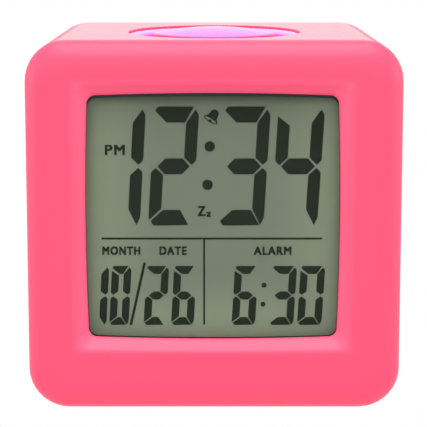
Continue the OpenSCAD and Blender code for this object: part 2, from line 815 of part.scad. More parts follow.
// One cell, without its printed jacket
module cell(i) {
    way = cell_way(i);
    can_r = cell_d / 2 - jacket_t;
    translate([way * cell_end, cell_y, cell_z[i]]) rotate([0, -90 * way, 0]) {
        cylinder(h = button_h + tiny, r = button_r);
        translate([0, 0, button_h]) cylinder(h = cell_l - button_h, r = can_r);
    }
}

module cell_jackets() {
    can_r = cell_d / 2 - jacket_t;
    color("seagreen") for (i = [0, 1]) difference() {
        translate([cell_way(i) * (cell_end - button_h - 0.6), cell_y, cell_z[i]])
            rotate([0, -90 * cell_way(i), 0]) cylinder(h = cell_l - button_h - 1.2, r = can_r + jacket_t);
        translate([0, cell_y, cell_z[i]]) rotate([0, 90, 0])
            cylinder(h = 2 * cell_l, r = can_r + 0.01, center = true);
    }
}

// Contact plates with solder tabs: two at the left, and one across both cells at the right
module contact_plates() {
    inner = bay_w / 2 - plate_t;
    color("gainsboro") {
        for (z = cell_z) {
            block([-bay_w / 2, bay_front_y + 1, z - 4.2], [-inner, cell_y + 4, z + 4.2]);
            block([-bay_w / 2, bay_front_y - 2.4, z - 1], [-inner, bay_front_y + 1.01, z + 1]);
        }
        block([inner, bay_front_y + 1, cell_z[0] - 4.2], [bay_w / 2, cell_y + 4, cell_z[1] + 4.2]);
        for (i = [0, 1])
            translate([cell_way(i) * (inner + tiny), cell_y, cell_z[i]])
                rotate([0, -90 * cell_way(i), 0]) cylinder(h = dimple_h, r = 1.6);
    }
}

// Conical spring at the flat end of each cell: a helix swept with a hexagonal wire
module battery_springs() {
    color("silver") for (i = [0, 1])
        translate([-cell_way(i) * (bay_w / 2 - plate_t), cell_y, cell_z[i]])
            rotate([0, 90 * cell_way(i), 0]) cone_spring(bay_w - 2 * plate_t - dimple_h - cell_l - 0.1);
}

module cone_spring(length) {
    turns = 3.5;
    steps = 49;
    thick = 0.35;
    wire([for (i = [0 : steps]) let (
        s = i / steps,
        r = 3.4 - 1.2 * s)
        [r * cos(360 * turns * s), r * sin(360 * turns * s), thick + (length - 2 * thick) * s]], thick);
}

// ---- Leads ----

// Leads from the two left contact plates to the main board
module battery_wires() {
    x = -bay_w / 2 + plate_t / 2;
    y = bay_front_y - 2.4 - wire_r;
    far_y = board_back_y + 3.5;
    color("firebrick")
        wire(smooth([[x, y, cell_z[1]], [x - 3, 4, 27], [-24, -4, 24], [-19, far_y, 20.7]], 5));
    color([0.1, 0.1, 0.1])
        wire(smooth([[x, y, cell_z[0]], [x - 2, 3, 16], [-25, -4, 17], [-21, far_y, 19.3]], 5));
}

// Flat cable that drops in one soft wave from the key board to the main board
module key_ribbon() {
    thick = 0.8;
    start = board_back_y + 1.6;
    run = key_board_y - start;
    steps = 16;
    function rise(s) = 46 + 4 * s - 5 * sin(180 * s);
    edge = [for (i = [0 : steps]) let (s = i / steps) [start + run * s, rise(s)]];
    other = [for (i = [steps : -1 : 0]) let (s = i / steps) [start + run * s, rise(s) + thick]];
    color("gray") translate([-5, 0, 0]) rotate([90, 0, 90]) linear_extrude(10) polygon(concat(edge, other));
}

module snooze_cable() {
    color("gainsboro") wire(smooth([
        [8, snooze_y - 8, bracket_top - 0.5], [9.5, -8.5, 65.5], [13, -8, 62.5], [14, board_back_y + 3.5, 62]
    ], 5), 0.8);
}

module buzzer_wires() {
    color("firebrick") wire(smooth([
        [2.5, panel_front_y - 1.55, buzzer_z], [4, 20.5, 45], [6, key_board_back + 0.3, 43.5]], 5), 0.3);
    color([0.1, 0.1, 0.1]) wire(smooth([
        [-6, panel_front_y - 1.3, buzzer_z], [-6.5, 20.5, 45], [-7, key_board_back + 0.3, 43.5]], 5), 0.3);
}

silicone_sleeve();
front_case();
rear_case();
lens();
lens_tape();
lcd_front_film();
lcd_front_glass();
lcd_rear_glass();
lcd_rear_film();
light_guide();
reflector_sheet();
lcd_frame();
zebra_strip();
main_board();
chip_blob();
crystal_can();
capacitors();
chip_parts();
backlight_leds();
connectors();
board_screws();
case_screws();
snooze_ring();
snooze_button();
snooze_pad();
snooze_board();
snooze_leds();
snooze_bracket();
snooze_screws();
key_board();
key_board_screws();
tact_switches();
for (k = [0 : 3]) {
    setting_key(k);
    plunger(k);
}
slide_switches();
slider_knob(-slider_x);  // alarm_slider
slider_knob(slider_x);  // hour_slider
slider_lever(-slider_x);  // alarm_lever
slider_lever(slider_x);  // hour_lever
buzzer_disc();
buzzer_ceramic();
buzzer_gasket();
battery_door();
door_latch();
battery_springs();
contact_plates();
color("lightgray") cell(0);  // aaa_cell_1
color("lightgray") cell(1);  // aaa_cell_2
cell_jackets();
battery_wires();
key_ribbon();
snooze_cable();
buzzer_wires();
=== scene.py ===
# %% [markdown]
# # A square bedside clock in a soft silicone sleeve
#
# The clock is a hard plastic case inside a pink silicone sleeve. The display sits behind a clear
# lens at the front, a lilac snooze dome sits in a dished ring on the top, and the keys, switches
# and battery door are at the back. The mechanical parts come from a CAD model, which is loaded
# first and gives the places and sizes. This lesson adds the soft and shaped surfaces that the
# CAD model only roughs out, then the finishes, the lights and the camera.
#
# Lengths are in metres. The origin is under the middle of the clock, +X is to the right seen
# from the front, the display faces -Y and +Z is up.

# %% Load the CAD frame
import json
import math

import bmesh
import bpy
from mathutils import Matrix, Vector

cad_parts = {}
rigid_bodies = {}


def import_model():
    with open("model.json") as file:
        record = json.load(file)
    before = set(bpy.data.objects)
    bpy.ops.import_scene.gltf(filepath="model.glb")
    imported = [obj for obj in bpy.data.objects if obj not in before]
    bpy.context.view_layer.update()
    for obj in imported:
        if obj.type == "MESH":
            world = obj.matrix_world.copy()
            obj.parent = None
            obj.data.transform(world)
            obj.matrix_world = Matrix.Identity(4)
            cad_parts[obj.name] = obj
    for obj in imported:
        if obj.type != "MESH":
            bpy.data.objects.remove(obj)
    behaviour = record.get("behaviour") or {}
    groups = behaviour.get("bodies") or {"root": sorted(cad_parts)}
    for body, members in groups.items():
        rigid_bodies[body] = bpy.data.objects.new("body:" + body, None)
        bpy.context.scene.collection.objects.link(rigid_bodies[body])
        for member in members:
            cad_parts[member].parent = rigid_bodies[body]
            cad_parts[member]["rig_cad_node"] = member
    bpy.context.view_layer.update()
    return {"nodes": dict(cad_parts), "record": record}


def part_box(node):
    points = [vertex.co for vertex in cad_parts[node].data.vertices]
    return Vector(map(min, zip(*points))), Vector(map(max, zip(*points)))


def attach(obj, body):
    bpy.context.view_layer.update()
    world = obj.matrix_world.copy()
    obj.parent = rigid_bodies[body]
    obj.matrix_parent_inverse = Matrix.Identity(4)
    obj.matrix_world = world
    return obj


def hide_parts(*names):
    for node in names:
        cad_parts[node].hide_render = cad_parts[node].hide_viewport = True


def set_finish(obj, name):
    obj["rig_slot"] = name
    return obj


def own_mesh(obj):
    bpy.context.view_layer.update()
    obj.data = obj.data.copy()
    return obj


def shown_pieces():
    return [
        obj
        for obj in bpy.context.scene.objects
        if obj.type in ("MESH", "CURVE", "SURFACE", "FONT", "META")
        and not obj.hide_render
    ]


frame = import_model()
cad = frame["nodes"]
mm = 0.001

# %% [markdown]
# ## Shader maths
#
# Every finish here is procedural. A small class wraps a shader socket, so that a finish can be
# written as ordinary arithmetic, and one method makes any other kind of node. A finish is then a
# few lines that read like a formula.

# %% Wrap a shader socket
class Value:
    """The output of a shader node, which arithmetic turns into more nodes."""

    def __init__(self, look, socket):
        self.look, self.socket = look, socket

    def maths(self, operation, *others):
        return self.look.node("ShaderNodeMath", {"operation": operation}, [self, *others])

    def __add__(self, other):
        return self.maths("ADD", other)

    def __sub__(self, other):
        return self.maths("SUBTRACT", other)

    def __rsub__(self, other):
        return self.maths("MULTIPLY_ADD", -1.0, other)

    def __mul__(self, other):
        return self.maths("MULTIPLY", other)

    def __pow__(self, power):
        return self.maths("POWER", power)

    __radd__ = __add__
    __rmul__ = __mul__

    def ramp(self, low, high):
        """0 below low, 1 above high and smooth in between."""
        return self.look.node("ShaderNodeMapRange", {"interpolation_type": "SMOOTHSTEP"},
                              [self, low, high])


class Look:
    """A material with one Principled surface, and the nodes that feed it."""

    def __init__(self, name, **constants):
        self.material = bpy.data.materials.new(name)
        self.material.use_nodes = True
        self.tree = self.material.node_tree
        self.tree.nodes.clear()
        self.surface = self.tree.nodes.new("ShaderNodeBsdfPrincipled")
        output = self.tree.nodes.new("ShaderNodeOutputMaterial")
        self.tree.links.new(self.surface.outputs[0], output.inputs["Surface"])
        self.coords = self.node("ShaderNodeTexCoord", out="Object")
        for socket, value in constants.items():
            self.surface.inputs[socket.replace("_", " ")].default_value = value

    def feed(self, socket, value):
        """Links a Value to a socket, or sets the socket to a constant."""
        if isinstance(value, Value):
            self.tree.links.new(value.socket, socket)
        elif socket.type == "RGBA" and len(value) == 3:
            socket.default_value = (*value, 1.0)
        else:
            socket.default_value = value

    def node(self, kind, settings=None, inputs=(), out=0):
        """Makes a node. Its inputs go by place in a list, or by name or place in a dict."""
        made = self.tree.nodes.new(kind)
        for name, value in (settings or {}).items():
            setattr(made, name, value)
        pairs = inputs.items() if isinstance(inputs, dict) else enumerate(inputs)
        for place, value in pairs:
            self.feed(made.inputs[place], value)
        return Value(self, made.outputs[out])

    def noise(self, size, detail):
        """Noise from 0 to 1 whose lumps are about size metres wide."""
        return self.node("ShaderNodeTexNoise", None,
                         {"Vector": self.coords, "Scale": 1 / size, "Detail": detail})

    def along(self, axis):
        """The X, Y or Z coordinate of the piece, in metres."""
        return self.node("ShaderNodeSeparateXYZ", None, [self.coords], out=axis)

    def mix(self, share, a, b):
        """Colour a where share is 0, b where it is 1."""
        return self.node("ShaderNodeMix", {"data_type": "RGBA"}, {0: share, 6: a, 7: b}, out=2)

    def bump(self, height, distance):
        """Feeds the normal from a height from 0 to 1, over distance metres."""
        self.set(Normal=self.node("ShaderNodeBump", None,
                                  {"Height": height, "Distance": distance}))

    def set(self, **inputs):
        """Feeds the surface's inputs; an underscore stands for a space."""
        for socket, value in inputs.items():
            self.feed(self.surface.inputs[socket.replace("_", " ")], value)


print("shader nodes are wrapped")

# %% [markdown]
# ## Modelling helpers
#
# A new piece is always built in a bmesh, at its real place and size. It is then named, smoothed
# where its faces meet at a shallow angle, tied to the CAD body that it moves with, and given
# the material slot that it stands for.

# %% Helpers for new pieces
def finished(bm, name, body, slot, replaces=(), smooth_deg=35):
    """Turns a bmesh into a piece that rides on a CAD body."""
    bmesh.ops.recalc_face_normals(bm, faces=bm.faces)
    mesh = bpy.data.meshes.new(name)
    bm.to_mesh(mesh)
    bm.free()
    mesh.shade_smooth()
    mesh.set_sharp_from_angle(angle=math.radians(smooth_deg))
    piece = bpy.data.objects.new(name, mesh)
    bpy.context.scene.collection.objects.link(piece)
    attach(piece, body)
    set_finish(piece, slot)
    if replaces:
        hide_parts(*replaces)
    return piece


def box_of(node):
    """Lowest corner, highest corner and centre of a CAD node."""
    low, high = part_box(node)
    return low, high, (low + high) / 2


def points_in(made):
    """The vertices among everything that an operator made."""
    return [g for g in made if isinstance(g, bmesh.types.BMVert)]


def turned(bm, profile, centre, steps=96):
    """Spins a profile of (radius, height) points round the upright line through centre."""
    points = [bm.verts.new((centre.x + r, centre.y, z)) for r, z in profile]
    edges = [bm.edges.new(pair) for pair in zip(points, points[1:])]
    bmesh.ops.spin(bm, geom=points + edges, cent=centre, axis=(0, 0, 1), angle=math.tau,
                   steps=steps, use_merge=True)
    bmesh.ops.remove_doubles(bm, verts=bm.verts, dist=1e-7)


def rounded(profile, place, radius, steps=5):
    """The profile with the corner at one place rounded to about that radius."""
    before, corner, after = (Vector(p) for p in profile[place - 1:place + 2])
    start = corner + (before - corner).normalized() * radius
    end = corner + (after - corner).normalized() * radius
    curve = [start.lerp(corner, t / steps).lerp(corner.lerp(end, t / steps), t / steps)
             for t in range(steps + 1)]
    return profile[:place] + [tuple(p) for p in curve] + profile[place + 1:]


# %% [markdown]
# ## The sleeve
#
# The sleeve is one moulded skin of silicone, about 2 mm thick, pulled over the case from the
# front. Its front edges are rolled generously, its sides lean in towards the back, a sloping
# lip runs down to the lens, and a thin lip at the back holds it on. Silicone doesn't keep a
# crisp edge, so every edge is round.
#
# The places that the sleeve has to meet are read from the CAD first: the lens, the case, the
# ring and the snooze button. Three sizes are set here: the thickness of the skin, how far the
# sides lean in from front to back, and how deep the front edges roll in the CAD.

# %% Measure the sleeve from the CAD
sleeve_low, sleeve_high, _ = box_of("silicone_sleeve")
lens_low, lens_high, _ = box_of("lens")
ring_low, ring_high, _ = box_of("snooze_ring")
button_low, button_high, button_mid = box_of("snooze_button")
skin, lean_in, front_roll = 2.2 * mm, 2.75 * mm, 4.5 * mm
front_y, rear_y, top_z = sleeve_low.y, sleeve_high.y, box_of("front_case")[1].z + skin
lens_y, panel_y, button_y = lens_low.y, box_of("rear_case")[1].y, button_mid.y
side_lean = lean_in / (rear_y - front_y)
front_half = sleeve_high.x + side_lean * front_roll
print("front", round(front_y / mm, 2), "top", round(top_z / mm, 2),
      "half width", round(front_half / mm, 2))

# %% [markdown]
# The sleeve is lofted: one ring of edges is extruded along a closed path, from the lens edge out
# over the front, back along the sides, round the rear lip and forward along the inside. Each
# ring is a rounded rectangle that lies across the depth of the clock, so six numbers describe
# it: its depth, its left, right, bottom and top, and the radius of its corners.

# %% Describe the rings of the sleeve
window_left, window_right = -27.33 * mm, 26.74 * mm
window_bottom, window_top = 16.4 * mm, 69.33 * mm
window_r, lip_width = 1.7 * mm, 2.4 * mm
corner_r, corner_loss, least_r = 9 * mm, 0.9 * mm, 1.5 * mm
roll_in, back_roll, back_lip = 6 * mm, 1.5 * mm, 2.2 * mm
fit = 0.05 * mm
arc_points = 10


def outline(y, inset):
    """Six numbers for a ring of the clock's outline, drawn in by inset."""
    half = front_half - side_lean * (y - front_y) - inset
    radius = corner_r - corner_loss * (y - front_y) / (rear_y - front_y)
    return y, -half, half, inset, top_z - inset, max(radius - 0.6 * inset, least_r)


def window(y, grow):
    """Six numbers for a ring of the window's outline, grown by that much."""
    return (y, window_left - grow, window_right + grow, window_bottom - grow, window_top + grow,
            window_r + 0.25 * grow)


def between(first, last, count):
    """That many rings spaced evenly between two rings, with both ends."""
    return [tuple(a + (b - a) * i / (count - 1) for a, b in zip(first, last))
            for i in range(count)]


def quarter(steps):
    """The angles that divide a quarter turn into that many steps."""
    return [math.pi / 2 * i / steps for i in range(steps + 1)]


# the rounded edge at the lens, the sloping lip, and the lip's crest
rings = [window(lens_y, 0.15 * mm), window(lens_y - 0.2 * mm, 0),
         window(lens_y - 0.5 * mm, 0.1 * mm)]
rings += between(window(lens_y - 0.8 * mm, 0.35 * mm),
                 window(front_y + 0.5 * mm, lip_width - 0.25 * mm), 6)
rings += [window(front_y + 0.22 * mm, lip_width + 0.05 * mm),
          window(front_y + 0.06 * mm, lip_width + 0.45 * mm),
          window(front_y, lip_width + 1 * mm)]

# the flat of the front, the roll of its edges, the sides, and the roll of the back edges
rings += [outline(front_y, roll_in + 0.8 * mm)]
rings += [outline(front_y + front_roll * (1 - math.cos(a)), roll_in * (1 - math.sin(a)))
          for a in quarter(12)]
rings += between(outline(front_y + front_roll + 0.6 * mm, 0),
                 outline(rear_y - back_roll - 0.6 * mm, 0), 24)
rings += [outline(rear_y - back_roll * (1 - math.sin(a)), back_roll * (1 - math.cos(a)))
          for a in quarter(5)]

# the lip at the back, and the inside of the skin, which stands just clear of the case
lip_inset, inside_inset = skin + back_lip, skin - fit
inner_front, inner_back = lens_y - fit, panel_y + fit
rings += [outline(rear_y, lip_inset - 0.4 * mm), outline(rear_y - 0.3 * mm, lip_inset),
          outline(inner_back, lip_inset)]
rings += between(outline(inner_back, inside_inset), outline(inner_front, inside_inset), 24)
rings += [window(inner_front, 0.6 * mm)]
print("rings in the sleeve's path:", len(rings))

# %% [markdown]
# All rings have the same number of points, so each extrusion only has to move point k of the
# new ring to place k. After the loft the long straight edges are divided, so that the sides
# have enough points to be bent.

# %% Loft the sleeve
long_edge, side_cuts, same_depth = 12 * mm, 23, 0.01 * mm


def ring_spot(ring, k):
    """Place of point k of a rounded rectangle: its corners take the points in turn."""
    y, left, right, bottom, top, r = ring
    corner, j = divmod(k, arc_points)
    angle = math.radians(90 * corner + 90 * j / (arc_points - 1))
    x = right - r if corner in (0, 3) else left + r
    z = top - r if corner in (0, 1) else bottom + r
    return Vector((x + r * math.cos(angle), y, z + r * math.sin(angle)))


def loft(path):
    """Extrudes one ring of edges along a closed path of rings, and divides straight sides."""
    bm = bmesh.new()
    loop = bmesh.ops.create_circle(bm, segments=4 * arc_points, radius=1 * mm)["verts"]
    place = {v: k for k, v in enumerate(loop)}
    for v, k in place.items():
        v.co = ring_spot(path[0], k)
    first = edges = bm.edges[:]
    for ring in path[1:]:
        made = bmesh.ops.extrude_edge_only(bm, edges=edges)["geom"]
        edges = [g for g in made if isinstance(g, bmesh.types.BMEdge) and g.is_boundary]
        place = {v: place[next(e.other_vert(v) for e in v.link_edges if e.other_vert(v) in place)]
                 for v in points_in(made)}
        for v, k in place.items():
            v.co = ring_spot(ring, k)
    bmesh.ops.bridge_loops(bm, edges=edges + first)
    straight = [e for e in bm.edges if e.calc_length() > long_edge
                and abs(e.verts[0].co.y - e.verts[1].co.y) < same_depth]
    bmesh.ops.subdivide_edges(bm, edges=straight, cuts=side_cuts, use_grid_fill=True)
    return bm


sleeve = loft(rings)
print("sleeve faces before the opening:", len(sleeve.faces))

# %% [markdown]
# The moulded window isn't a true rectangle, because its sides bow outwards a little. So the
# middle of each side is moved out by about half a millimetre, and the movement fades away
# over the width of the lip.

# %% Bow the sides of the window
bow, bow_depth, bow_reach = 0.55 * mm, 2 * mm, 0.5 * mm
half_w, half_h = (window_right - window_left) / 2, (window_top - window_bottom) / 2
middle = Vector(((window_left + window_right) / 2, 0, (window_bottom + window_top) / 2))


def bow_window(bm):
    """Moves the middle of each side of the window outwards, and the lip with it."""
    for v in bm.verts:
        x, z = v.co.x - middle.x, v.co.z - middle.z
        out_x, out_z = abs(x) - half_w, abs(z) - half_h
        if v.co.y > lens_y + bow_depth or max(out_x, out_z) > lip_width + bow_reach:
            continue
        fade = 1 - max(out_x, out_z, 0) / (2 * lip_width)
        if out_x > out_z:
            v.co.x += math.copysign(bow * fade * max(0, 1 - (z / half_h) ** 2), x)
        else:
            v.co.z += math.copysign(bow * fade * max(0, 1 - (x / half_w) ** 2), z)


bow_window(sleeve)

# %% [markdown]
# The round opening for the snooze button is made in the flat top: the flat faces are taken away
# from the outer and the inner skin, the edge left behind is drawn in to a circle, and the rim is
# carried down through the thickness as a small round.

# %% Open the top for the snooze button
opening_r, rim_r, same_height = ring_high.x - 1.2 * mm, 0.15 * mm, 0.005 * mm
inner_z = top_z - skin + fit


def open_patch(z):
    """Deletes the flat faces at height z and returns the edges round the hole."""
    def level(part):
        return all(abs(v.co.z - z) < same_height for v in part.verts)

    flat = [f for f in sleeve.faces if level(f)]
    bmesh.ops.delete(sleeve, geom=flat, context="FACES")
    return [e for e in sleeve.edges if e.is_boundary and level(e)]


def draw_in(edges, radius, z):
    """Extrudes a loop of edges and puts the new points on a circle round the button."""
    made = bmesh.ops.extrude_edge_only(sleeve, edges=edges)["geom"]
    for v in points_in(made):
        away = Vector((v.co.x, v.co.y - button_y)).normalized() * radius
        v.co = Vector((away.x, button_y + away.y, z))
    return [e for e in made if isinstance(e, bmesh.types.BMEdge) and e.is_boundary]


outer = open_patch(top_z)
outer = draw_in(outer, opening_r + rim_r + 0.5 * mm, top_z)
for a in quarter(5):
    outer = draw_in(outer, opening_r + rim_r * (1 - math.sin(a)),
                    top_z - rim_r * (1 - math.cos(a)))
outer = draw_in(outer, opening_r, inner_z + 0.1 * mm)
inner = draw_in(open_patch(inner_z), opening_r, inner_z)
bmesh.ops.bridge_loops(sleeve, edges=outer + inner)
sleeve_piece = finished(sleeve, "silicone_skin", "clock", "silicone", ["silicone_sleeve"],
                        smooth_deg=50)
weighted = sleeve_piece.modifiers.new("even_shading", "WEIGHTED_NORMAL")
weighted.keep_sharp = True
print("sleeve opening radius:", round(opening_r / mm, 2),
      "faces:", len(sleeve_piece.data.polygons))

# %% [markdown]
# ## The snooze button
#
# The dome is a shallow cap of lilac plastic. It stands in a dished ring of the same plastic,
# which fills the round opening in the sleeve. Both are turned shapes, so each is one profile
# spun round the upright axis. Moulded edges are never sharp, so the outer corner of each
# profile is rounded first.

# %% Spin the dome
dome_r, dome_h, cap_steps = 13.75 * mm, 1.3 * mm, 14
dome_top = button_high.z
dome_rim = dome_top - dome_h
sphere = (dome_r ** 2 + dome_h ** 2) / (2 * dome_h)
reach = math.asin(dome_r / sphere)
cap = [(sphere * math.sin(reach * i / cap_steps),
        dome_top - sphere * (1 - math.cos(reach * i / cap_steps))) for i in range(cap_steps + 1)]
foot, wall, stem_r = button_low.z, 1.5 * mm, 2.6 * mm
flange_r, flange_foot = dome_r + 1.65 * mm, dome_rim - 5.2 * mm
flange_top = flange_foot + 1 * mm
profile = cap + [(dome_r + 0.05 * mm, flange_top), (flange_r, flange_top),
                 (flange_r, flange_foot), (dome_r - wall, flange_foot),
                 (dome_r - wall, dome_rim - wall + 0.3 * mm),
                 (stem_r, dome_top - wall - 0.1 * mm), (stem_r, foot), (0, foot)]
profile = rounded(profile, len(cap) - 1, 0.35 * mm)
dome = bmesh.new()
turned(dome, profile, Vector((0, button_y, 0)))
finished(dome, "snooze_dome", "snooze", "dome", ["snooze_button"])
print("dome from", round(foot / mm, 2), "to", round(dome_top / mm, 2))

# %% [markdown]
# The ring's upper face is a shallow dish that falls towards the dome. A small bead stands at
# the edge of its throat. Under the rim, a flange holds the ring below the top of the case.

# %% Spin the dished ring
ring_r, ring_edge, dip = opening_r - 0.05 * mm, ring_high.z - 0.3 * mm, 0.95 * mm
ring_foot, throat = ring_low.z, dome_r + 0.35 * mm
dish_in, dish_out, dish_foot = throat + 0.75 * mm, ring_r - 0.6 * mm, ring_edge - dip
dish = [(dish_in + (dish_out - dish_in) * s, ring_edge - dip * (1 - s ** 2))
        for s in [i / 10 for i in range(11)]]
hold_top, hold_foot, under_r = ring_edge - 3.75 * mm, ring_edge - 4.85 * mm, ring_r - 1.2 * mm
profile = dish + [(ring_r - 0.2 * mm, ring_edge - 0.16 * mm), (ring_r, ring_edge - 0.45 * mm),
                  (ring_r, hold_top), (ring_high.x, hold_top), (ring_high.x, hold_foot),
                  (under_r, hold_foot), (under_r, ring_edge - 1.9 * mm),
                  (throat + 1 * mm, dish_foot - 1.3 * mm), (throat + 1 * mm, ring_foot),
                  (throat, ring_foot), (throat, dish_foot - 0.1 * mm),
                  (throat + 0.2 * mm, dish_foot + 0.12 * mm),
                  (throat + 0.45 * mm, dish_foot + 0.12 * mm),
                  (throat + 0.6 * mm, dish_foot - 0.08 * mm), dish[0]]
profile = rounded(profile, len(dish) - 1, 0.2 * mm)
ring = bmesh.new()
turned(ring, profile, Vector((0, button_y, 0)))
finished(ring, "snooze_dish", "clock", "dome", ["snooze_ring"])
print("ring from", round(ring_foot / mm, 2), "to", round(ring_edge / mm, 2))

# %% [markdown]
# Under the dome a cup of silicone rubber springs it back up. Its thin sloping wall buckles as the
# dome goes down; here the piece stays with the case and has a mesh of its own.

# %% Spin the rubber cup
pad_low, pad_high, _ = box_of("snooze_pad")
foot, head, foot_r = pad_low.z, pad_high.z, pad_high.x
head_r, brim = 3.1 * mm, 0.8 * mm
profile = [(0, head), (head_r, head), (head_r, head - 1 * mm), (foot_r - 1.3 * mm, foot + brim),
           (foot_r, foot + brim), (foot_r, foot), (foot_r - 2.1 * mm, foot),
           (foot_r - 2.1 * mm, foot + 0.6 * mm), (2.3 * mm, head - 1.4 * mm),
           (0, head - 1.4 * mm)]
for place in (4, 3, 2, 1):
    profile = rounded(profile, place, 0.3 * mm)
cup = bmesh.new()
turned(cup, profile, Vector((0, button_y, 0)))
cup_piece = finished(cup, "snooze_cup", "clock", "pad", ["snooze_pad"])
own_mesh(cup_piece)
print("cup height:", round((head - foot) / mm, 2))

# %% [markdown]
# ## The display
#
# A liquid crystal display makes its dark shapes inside the glass. Here the front film of the
# CAD model carries the grey-green face, and the dark shapes are thin plates just in front of
# it. The big and small digits share one seven-segment pattern, drawn upright in a box and then
# sheared, because the digits lean to the right.

# %% Draw one seven-segment digit
film_low = box_of("lcd_front_film")[0]
ink_y, ink_t = film_low.y - 0.04 * mm, 0.03 * mm
lean = 0.058


def plate(bm, points):
    """A thin flat plate with that outline, given as (x, z) points."""
    face = bm.faces.new([bm.verts.new((x, ink_y, z)) for x, z in points])
    made = bmesh.ops.extrude_face_region(bm, geom=[face])["geom"]
    bmesh.ops.translate(bm, verts=points_in(made), vec=(0, ink_t, 0))


def rectangle(left, right, bottom, top):
    """The outline of an upright rectangle."""
    return [(left, bottom), (right, bottom), (right, top), (left, top)]


def segments(w, h, v, b):
    """The seven segments in a box w wide and h high, with uprights v wide and bars b high."""
    m = h / 2
    return {
        "a": [(0.02 * w, h - 0.25 * b), (0.09 * w, h), (w - 0.42 * v, h), (w - 1.08 * v, h - b),
              (1.05 * v, h - b)],
        "b": [(w - 0.28 * v, h - 0.18 * b), (w, h - 0.55 * b), (w, m + 0.39 * b),
              (w - 0.36 * v, m + 0.09 * b), (w - v, m + 0.56 * b), (w - v, h - 1.03 * b)],
        "c": [(w - v, m - 0.56 * b), (w - 0.36 * v, m - 0.09 * b), (w, m - 0.39 * b),
              (w, 0.55 * b), (w - 0.28 * v, 0.03 * b), (w - v, 1.05 * b)],
        "d": [(0.05 * w, 0.3 * b), (1.15 * v, b), (w - 1.1 * v, b), (w - 0.35 * v, 0.03 * b),
              (0.12 * w, 0)],
        "e": [(0.36 * v, m - 0.1 * b), (v, m - 0.54 * b), (v, 1.08 * b), (0.05 * v, 0.36 * b),
              (0, 0.58 * b), (0, m - 0.39 * b)],
        "f": [(0, h - 0.6 * b), (v, h - 1.2 * b), (v, m + 0.54 * b), (0.36 * v, m + 0.07 * b),
              (0, m + 0.35 * b)],
        "g": [(0.5 * v, m), (1.1 * v, m + b / 2), (w - 1.1 * v, m + b / 2), (w - 0.5 * v, m),
              (w - 1.1 * v, m - b / 2), (1.1 * v, m - b / 2)],
    }


lit = {"0": "abcdef", "1": "bc", "2": "abdeg", "3": "abcdg", "4": "bcfg", "6": "acdefg"}


def digit(bm, figure, right, width, bottom, top, upright, bar):
    """One leaning digit, whose right side is at x = right half way up."""
    middle_z = (bottom + top) / 2
    shapes = segments(width, top - bottom, upright, bar)
    for name in lit[figure]:
        plate(bm, [(right - width + x + lean * (bottom + z - middle_z), bottom + z)
                   for x, z in shapes[name]])


def dot(bm, x, z, radius, sides=24):
    """A round dot."""
    spots = [math.tau * i / sides for i in range(sides)]
    plate(bm, [(x + radius * math.cos(a), z + radius * math.sin(a)) for a in spots])


# %% [markdown]
# The time stands in big digits over the date and the alarm time in small ones, with thin rules
# between the three. Each digit has its own width and place, and all numbers in the tables are
# in millimetres.

# %% Lay out the digits
big = (40.4 * mm, 66.6 * mm, 2.7 * mm, 3.5 * mm)
small = (18.1 * mm, 31.4 * mm, 1.65 * mm, 1.8 * mm)
rows = {
    "time_digits": (big, (("1", -15.5, 9.7), ("2", -3.95, 9.75), ("3", 11.55, 10.1),
                          ("4", 23.3, 10.1))),
    "date_digits": (small, (("1", -23.4, 5), ("0", -18.5, 4.3), ("2", -10.25, 4.95),
                            ("6", -4.15, 5))),
    "alarm_digits": (small, (("6", 9.4, 5.2), ("3", 17.85, 5.4), ("0", 24.05, 5.4))),
}
ink = {name: bmesh.new() for name in (*rows, "display_rules", "display_icons")}
for name, (size, figures) in rows.items():
    for figure, right, width in figures:
        digit(ink[name], figure, right * mm, width * mm, *size)

colon_x, colon_z = -1.2, 53.6
for z in (57.86, 49.43):
    dot(ink["time_digits"], (colon_x + lean * (z - colon_z)) * mm, z * mm, 1.15 * mm)
for x, z in ((10.98, 27.09), (10.76, 22.81)):
    dot(ink["alarm_digits"], x * mm, z * mm, 0.55 * mm)
slash = ((-15.55, 32.15), (-14.95, 32.15), (-18.1, 18.1), (-18.7, 18.1))
plate(ink["date_digits"], [(x * mm, z * mm) for x, z in slash])
for sides in ((-24.67, 23.67, 37.3, 37.72), (-2.4, -2.0, 18.2, 37.3)):
    plate(ink["display_rules"], rectangle(*(side * mm for side in sides)))
print("digits are drawn")

# %% [markdown]
# The small labels are plain capitals, and a pair of letters stands for snooze. Lettering starts
# as a text curve, becomes a mesh, and is scaled into the box that it fills on the display. Four
# copies, each a little off the last, make its strokes bolder.

# %% Letter the labels
def lettering(bm, text, left, right, bottom, top):
    """Adds flat letters that fill a box, as thin plates."""
    curve = bpy.data.curves.new("label", "FONT")
    curve.body = text
    curve.space_character = 1.2
    holder = bpy.data.objects.new("label", curve)
    bpy.context.scene.collection.objects.link(holder)
    bpy.context.view_layer.update()
    mesh = bpy.data.meshes.new_from_object(holder)
    bpy.data.objects.remove(holder)
    flat = bmesh.new()
    flat.from_mesh(mesh)
    bpy.data.meshes.remove(mesh)
    xs, ys = [v.co.x for v in flat.verts], [v.co.y for v in flat.verts]
    for v in flat.verts:
        across = (v.co.x - min(xs)) / (max(xs) - min(xs))
        up = (v.co.y - min(ys)) / (max(ys) - min(ys))
        v.co = Vector((left + across * (right - left), ink_y, bottom + up * (top - bottom)))
    made = bmesh.ops.extrude_face_region(flat, geom=flat.faces)["geom"]
    bmesh.ops.translate(flat, verts=points_in(made), vec=(0, ink_t, 0))
    joined = bpy.data.meshes.new("joined")
    for across, up in ((-0.12, -0.08), (0.24, 0), (0, 0.16), (-0.24, 0)):
        bmesh.ops.translate(flat, verts=flat.verts, vec=(across * mm, -0.002 * mm, up * mm))
        flat.to_mesh(joined)
        bm.from_mesh(joined)
    flat.free()
    bpy.data.meshes.remove(joined)


